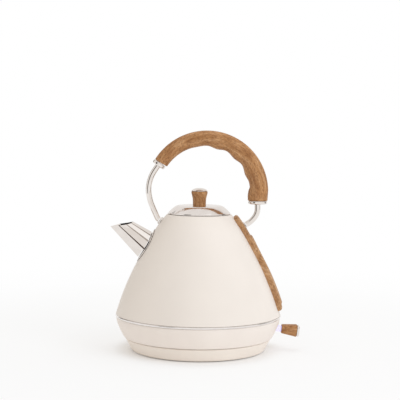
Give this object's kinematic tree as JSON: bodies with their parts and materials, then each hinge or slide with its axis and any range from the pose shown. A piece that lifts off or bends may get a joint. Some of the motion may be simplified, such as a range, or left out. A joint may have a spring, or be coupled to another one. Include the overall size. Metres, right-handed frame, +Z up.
{
  "type": "electric kettle",
  "caption": "Cordless pyramid electric kettle: steel jug with arched handle, pointed spout, lift-off lid, rear water gauge strip and switch lever, on a round power base.",
  "frame": {"origin": "on the jug's vertical axis, at the level of the surface that the base stands on; the underside of the base cover is 1.2 mm above it", "axes": "+Z up, -X towards the spout's tip, +X towards the water gauge and the switch lever, +Y to the side where the cord gland is"},
  "size_m": [0.2343, 0.2028, 0.2688],
  "materials": {
    "cream_enamel": "satin powder coat",
    "cream_plastic": "satin moulded",
    "chrome": "polished",
    "brushed_steel": "brushed",
    "wood_look": "wood-grain film on moulded plastic",
    "black_plastic": "moulded",
    "clear_plastic": "clear",
    "grey_rubber": "matte",
    "silicone": "translucent matte",
    "brass": "plain"
  },
  "bodies": {
    "power_base": {"base_connector": "black_plastic", "base_cover": "cream_plastic", "base_foot_1": "grey_rubber", "base_foot_2": "grey_rubber", "base_foot_3": "grey_rubber", "base_foot_4": "grey_rubber", "base_housing": "cream_plastic", "base_screw_1": "brushed_steel", "base_screw_2": "brushed_steel", "base_screw_3": "brushed_steel", "connector_pin": "brass", "connector_ring": "brass", "cord_gland": "grey_rubber"},
    "coupler_ring": {"socket_ring": "black_plastic"},
    "vessel": {"body_shell": "cream_enamel", "control_unit": "black_plastic", "gauge_seal": "silicone", "gauge_window": "clear_plastic", "grip_collar_front": "chrome", "grip_collar_rear": "chrome", "grip_far_half": "wood_look", "grip_near_half": "wood_look", "handle_core": "brushed_steel", "handle_foot_front": "chrome", "handle_foot_rear": "chrome", "handle_screw_front": "brushed_steel", "handle_screw_rear": "brushed_steel", "handle_tube_front": "chrome", "handle_tube_rear": "chrome", "heater_plate": "brushed_steel", "heating_element": "brushed_steel", "housing_screw_1": "brushed_steel", "housing_screw_2": "brushed_steel", "housing_screw_3": "brushed_steel", "indicator_lamp": "clear_plastic", "lower_housing": "cream_plastic", "neck_ring": "brushed_steel", "rear_strip": "wood_look", "shoulder_ring": "chrome", "spout": "chrome", "spout_filter": "brushed_steel", "spout_flange": "chrome", "steam_tube": "silicone", "switch_bracket": "black_plastic", "switch_pivot_pin": "brushed_steel", "underside_cover": "cream_plastic"},
    "lid": {"knob_cap": "chrome", "knob_screw": "brushed_steel", "lid_cover": "chrome", "lid_knob": "wood_look", "lid_plug": "black_plastic", "lid_seal": "silicone"},
    "switch_lever": {"switch_stem": "clear_plastic", "switch_paddle": "wood_look", "switch_cap": "chrome"}
  },
  "joints": [
    {"name": "jug_lift", "type": "slide", "parent": "power_base", "child": "coupler_ring", "axis": [0, 0, 1], "range_m": [0, 0.06]},
    {"name": "jug_turn", "type": "hinge", "parent": "coupler_ring", "child": "vessel", "pos_m": [0, 0, 0.0171], "axis": [0, 0, 1], "continuous": true},
    {"name": "lid_lift", "type": "slide", "parent": "vessel", "child": "lid", "axis": [0, 0, 1], "range_m": [0, 0.045]},
    {"name": "switch_tip", "type": "hinge", "parent": "vessel", "child": "switch_lever", "pos_m": [0.08, 0, 0.0287], "axis": [0, 1, 0], "range_deg": [-13.4, 0]}
  ]
}
